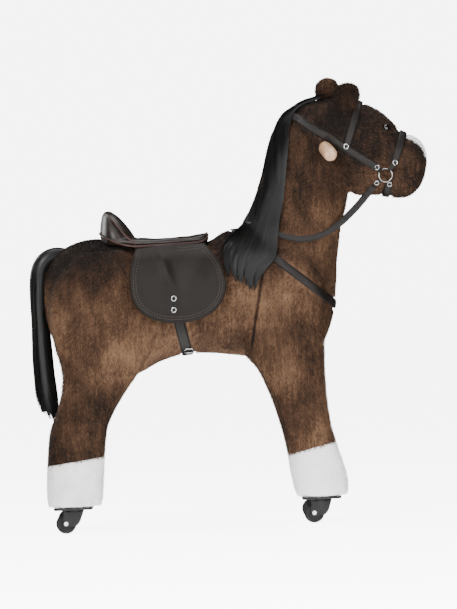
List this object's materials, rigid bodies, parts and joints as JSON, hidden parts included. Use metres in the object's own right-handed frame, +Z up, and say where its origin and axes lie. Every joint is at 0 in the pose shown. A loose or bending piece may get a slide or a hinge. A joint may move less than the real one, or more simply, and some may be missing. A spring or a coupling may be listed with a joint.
{
  "type": "rocking horse",
  "caption": "Plush ride-on horse on swivel casters, with saddle, bridle and grips, and spring-held front and rear leg pairs that swing on an inner steel frame.",
  "frame": {"origin": "on the floor, under the middle of the horse's length and width", "axes": "+X towards the nose, +Y towards the horse's left side, +Z up"},
  "size_m": [0.818, 0.2844, 0.8993],
  "materials": {
    "brown_plush": "short pile plush, mottled brown",
    "white_plush": "short pile plush, white",
    "black_hair": "long glossy straight synthetic hair",
    "saddle_leather": "glossy dark brown leatherette",
    "strap_leather": "satin black-brown leatherette",
    "frame_steel": "semi-gloss powder coat",
    "nickel": "bright nickel plate",
    "grip_wood": "clear satin varnish",
    "plywood": "raw",
    "black_plastic": "satin moulded",
    "wheel_rubber": "matte",
    "eye_gloss": "polished"
  },
  "bodies": {
    "horse_body": {"spine_frame": "frame_steel", "seat_board": "plywood", "front_pivot_bolt": "nickel", "rear_pivot_bolt": "nickel", "return_spring": "frame_steel", "handle_bar": "frame_steel", "handle_grip_left": "grip_wood", "handle_grip_right": "grip_wood", "body_padding": "brown_plush", "neck_padding": "brown_plush", "head_padding": "brown_plush", "ear_right": "brown_plush", "ear_left": "brown_plush", "eye_left": "eye_gloss", "eye_right": "eye_gloss", "mane": "black_hair", "tail": "black_hair", "saddle_seat": "saddle_leather", "saddle_flap_left": "saddle_leather", "saddle_flap_right": "saddle_leather", "flap_snap_upper_left": "nickel", "flap_snap_upper_right": "nickel", "flap_snap_lower_left": "nickel", "flap_snap_lower_right": "nickel", "girth_strap": "strap_leather", "girth_buckle": "nickel", "breast_strap": "strap_leather", "crown_strap": "strap_leather", "brow_band": "strap_leather", "nose_band": "strap_leather", "chin_strap": "strap_leather", "bit_link_left": "nickel", "bit_link_right": "nickel", "reins": "strap_leather"},
    "front_legs": {"front_leg_frame": "frame_steel", "front_leg_padding_left": "brown_plush", "front_leg_padding_right": "brown_plush", "front_sock_left": "white_plush", "front_sock_right": "white_plush", "front_foot_plate_left": "black_plastic", "front_foot_plate_right": "black_plastic"},
    "rear_legs": {"rear_leg_frame": "frame_steel", "rear_leg_padding_left": "brown_plush", "rear_leg_padding_right": "brown_plush", "rear_sock_left": "white_plush", "rear_sock_right": "white_plush", "rear_foot_plate_left": "black_plastic", "rear_foot_plate_right": "black_plastic"},
    "front_caster_left": {"front_caster_hood_left": "black_plastic", "front_caster_axle_left": "nickel"},
    "front_wheel_left": {"front_wheel_left": "wheel_rubber"},
    "front_caster_right": {"front_caster_hood_right": "black_plastic", "front_caster_axle_right": "nickel"},
    "front_wheel_right": {"front_wheel_right": "wheel_rubber"},
    "rear_caster_left": {"rear_caster_hood_left": "black_plastic", "rear_caster_axle_left": "nickel"},
    "rear_wheel_left": {"rear_wheel_left": "wheel_rubber"},
    "rear_caster_right": {"rear_caster_hood_right": "black_plastic", "rear_caster_axle_right": "nickel"},
    "rear_wheel_right": {"rear_wheel_right": "wheel_rubber"}
  },
  "joints": [
    {"name": "front_leg_swing", "type": "hinge", "parent": "horse_body", "child": "front_legs", "pos_m": [0.11, 0, 0.455], "axis": [0, -1, 0], "range_deg": [0, 8], "stiffness_Nm_per_rad": 60, "springref_deg": -10.31, "deforming": ["return_spring"]},
    {"name": "rear_leg_swing", "type": "hinge", "parent": "horse_body", "child": "rear_legs", "pos_m": [-0.255, 0, 0.455], "axis": [0, 1, 0], "range_deg": [0, 8], "stiffness_Nm_per_rad": 60, "springref_deg": -10.31, "deforming": ["return_spring"]},
    {"name": "front_caster_swivel_left", "type": "hinge", "parent": "front_legs", "child": "front_caster_left", "pos_m": [0.164, 0.097, 0.048], "axis": [0, 0, 1], "continuous": true},
    {"name": "front_wheel_spin_left", "type": "hinge", "parent": "front_caster_left", "child": "front_wheel_left", "pos_m": [0.148, 0.097, 0.0205], "axis": [0, 1, 0], "continuous": true},
    {"name": "front_caster_swivel_right", "type": "hinge", "parent": "front_legs", "child": "front_caster_right", "pos_m": [0.164, -0.097, 0.048], "axis": [0, 0, 1], "continuous": true},
    {"name": "front_wheel_spin_right", "type": "hinge", "parent": "front_caster_right", "child": "front_wheel_right", "pos_m": [0.148, -0.097, 0.0205], "axis": [0, 1, 0], "continuous": true},
    {"name": "rear_caster_swivel_left", "type": "hinge", "parent": "rear_legs", "child": "rear_caster_left", "pos_m": [-0.337, 0.097, 0.048], "axis": [0, 0, 1], "continuous": true},
    {"name": "rear_wheel_spin_left", "type": "hinge", "parent": "rear_caster_left", "child": "rear_wheel_left", "pos_m": [-0.353, 0.097, 0.0205], "axis": [0, 1, 0], "continuous": true},
    {"name": "rear_caster_swivel_right", "type": "hinge", "parent": "rear_legs", "child": "rear_caster_right", "pos_m": [-0.337, -0.097, 0.048], "axis": [0, 0, 1], "continuous": true},
    {"name": "rear_wheel_spin_right", "type": "hinge", "parent": "rear_caster_right", "child": "rear_wheel_right", "pos_m": [-0.353, -0.097, 0.0205], "axis": [0, 1, 0], "continuous": true}
  ]
}
